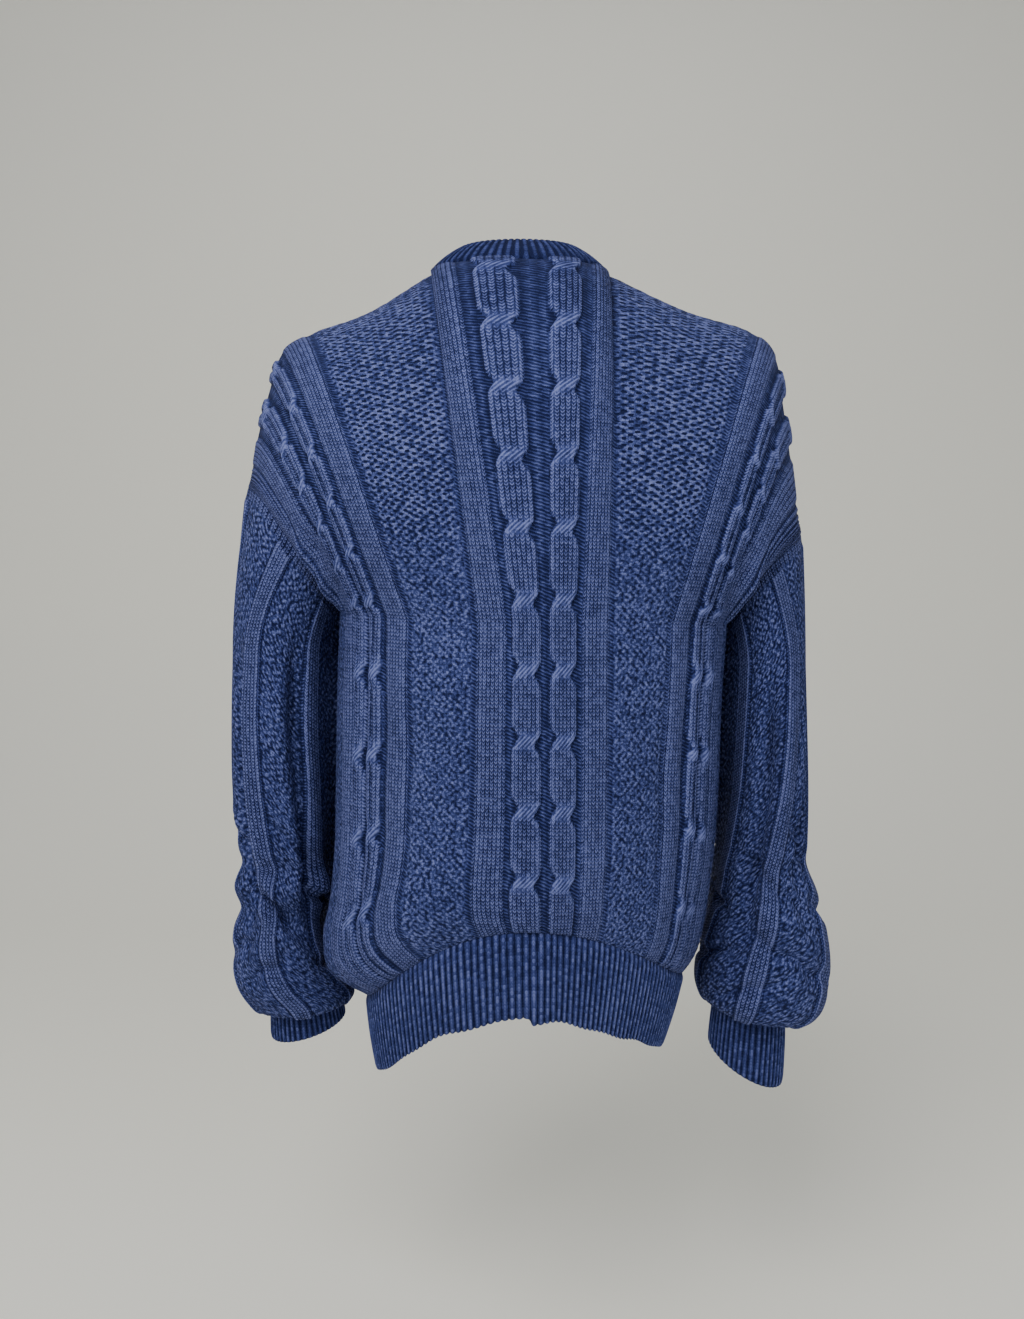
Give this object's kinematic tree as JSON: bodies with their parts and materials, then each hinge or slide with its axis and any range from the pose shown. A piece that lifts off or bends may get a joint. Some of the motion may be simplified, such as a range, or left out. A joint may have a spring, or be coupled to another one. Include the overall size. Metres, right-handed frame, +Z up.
{
  "type": "cable knit sweater",
  "caption": "Loose long-sleeved pullover in a chunky cable and moss knit, with a ribbed round neck, ribbed hem and cuffs, hollow and open as it is when worn.",
  "frame": {"origin": "middle of the neck opening, level with the points where the shoulders meet the neckband; the garment is held up there by its wearer", "axes": "+Z up along the garment, +Y out of its front, -Y out of its back, -X towards the wearer's left sleeve"},
  "size_m": [0.5455, 0.3021, 0.7647],
  "materials": {
    "patterned_knit": "matte cotton knit in denim blue, with raised cables, plain bands and moss ground",
    "rib_knit": "matte cotton ribbing in a slightly darker denim blue"
  },
  "bodies": {
    "root": {"back": "patterned_knit", "front": "patterned_knit", "sleeve_left": "patterned_knit", "sleeve_right": "patterned_knit", "neckband": "rib_knit", "hem_rib_back": "rib_knit", "hem_rib_front": "rib_knit", "cuff_left": "rib_knit", "cuff_right": "rib_knit"}
  },
  "joints": []
}
